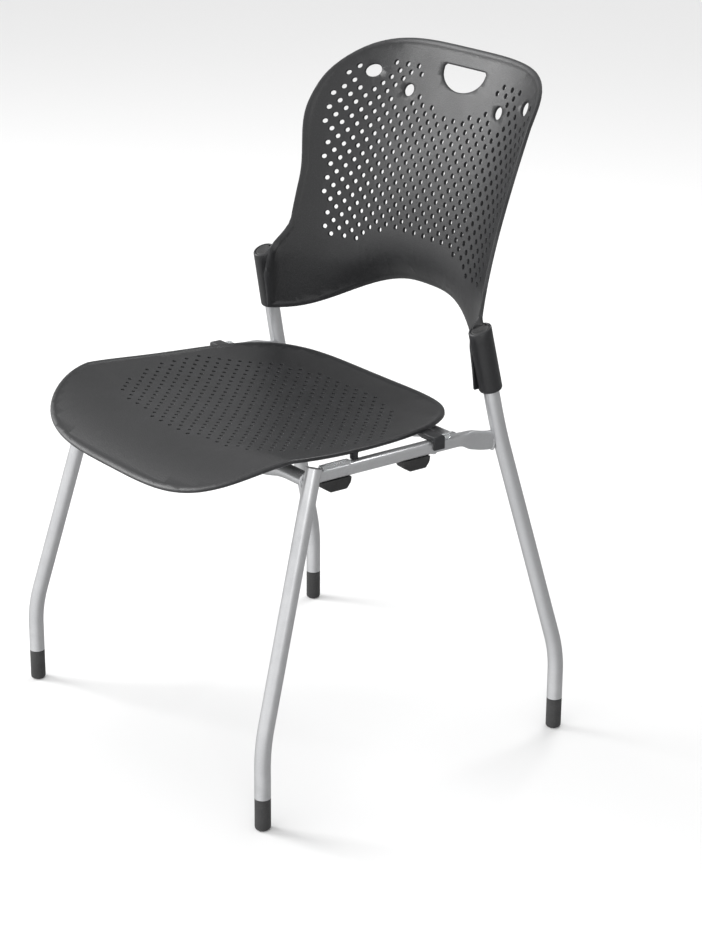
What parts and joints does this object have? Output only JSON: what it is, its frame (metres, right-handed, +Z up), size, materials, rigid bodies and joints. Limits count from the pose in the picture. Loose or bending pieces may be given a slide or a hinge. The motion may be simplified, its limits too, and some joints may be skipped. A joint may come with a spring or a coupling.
{
  "type": "stacking chair",
  "caption": "Armless stacking chair with perforated moulded seat and back shells on a four-leg bent tube frame.",
  "frame": {"origin": "on the floor, under the middle of the chair's outline", "axes": "+Z up, the sitter faces -Y, +X is the sitter's left"},
  "size_m": [0.5396, 0.5596, 0.83],
  "materials": {
    "frame": "satin silver powder coat",
    "shell": "fine moulded texture, charcoal",
    "cap": "smooth dark grey moulding",
    "rubber": "matt black",
    "clear": "clear soft plastic",
    "screw": "zinc plated"
  },
  "bodies": {
    "root": {"back_screw_left": "screw", "back_screw_right": "screw", "back_shell": "shell", "foot_cap_front_left": "cap", "foot_cap_front_right": "cap", "foot_cap_rear_left": "cap", "foot_cap_rear_right": "cap", "front_cross_tube": "frame", "front_leg_left": "frame", "front_leg_right": "frame", "leg_plug_left": "rubber", "leg_plug_right": "rubber", "rail_pad_front_left": "clear", "rail_pad_front_right": "clear", "rail_pad_rear_left": "clear", "rail_pad_rear_right": "clear", "rear_cross_tube": "frame", "rear_leg_left": "frame", "rear_leg_right": "frame", "seat_screw_front_left": "screw", "seat_screw_front_right": "screw", "seat_screw_rear_left": "screw", "seat_screw_rear_right": "screw", "seat_shell": "shell", "side_rail_left": "frame", "side_rail_right": "frame", "socket_cap_left": "cap", "socket_cap_right": "cap", "stack_bumper_front_left": "rubber", "stack_bumper_front_right": "rubber", "stack_bumper_rear_left": "rubber", "stack_bumper_rear_right": "rubber"}
  },
  "joints": []
}
